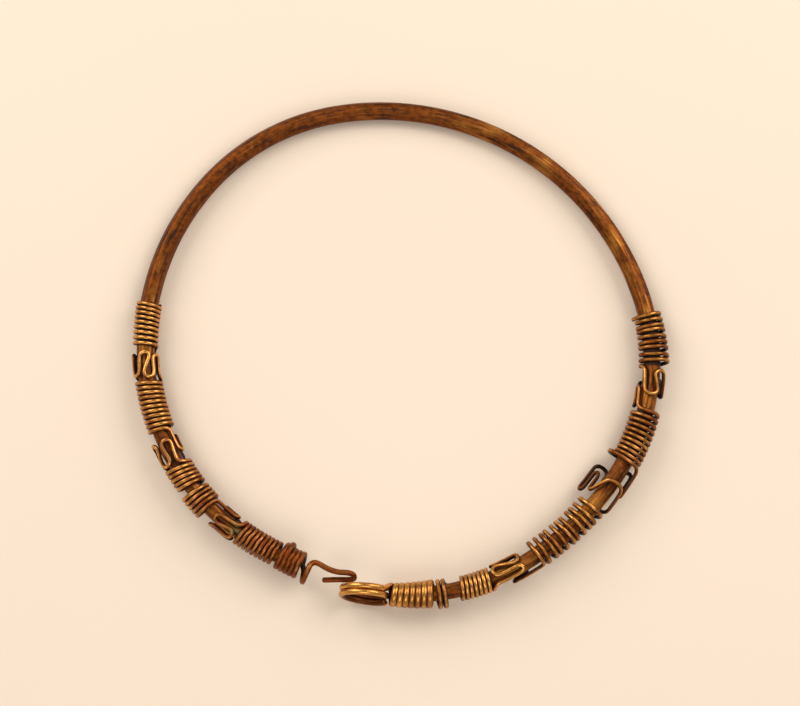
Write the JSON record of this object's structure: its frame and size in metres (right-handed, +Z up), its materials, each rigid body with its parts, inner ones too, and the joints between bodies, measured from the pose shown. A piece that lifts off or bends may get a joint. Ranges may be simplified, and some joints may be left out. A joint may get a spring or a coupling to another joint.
{
  "type": "bronze torc",
  "caption": "Open bronze neck ring of bent round rod, its front ends wound with fine wire in coils and meanders that finish as a hook and a double eye.",
  "frame": {"origin": "centre of the bounding box on the surface it lies on", "axes": "+Z up, -Y to the front where hook and eye meet, +X to the eye wire's side"},
  "size_m": [0.1426, 0.1362, 0.0124],
  "materials": {
    "rod_bronze": "dark brown patina with golden worn patches",
    "hook_wire_bronze": "brown patina, golden where it is rubbed",
    "eye_wire_bronze": "golden brown, worn bright at the eye"
  },
  "bodies": {
    "root": {"hoop_rod": "rod_bronze", "hook_wire": "hook_wire_bronze", "eye_wire": "eye_wire_bronze"}
  },
  "joints": []
}
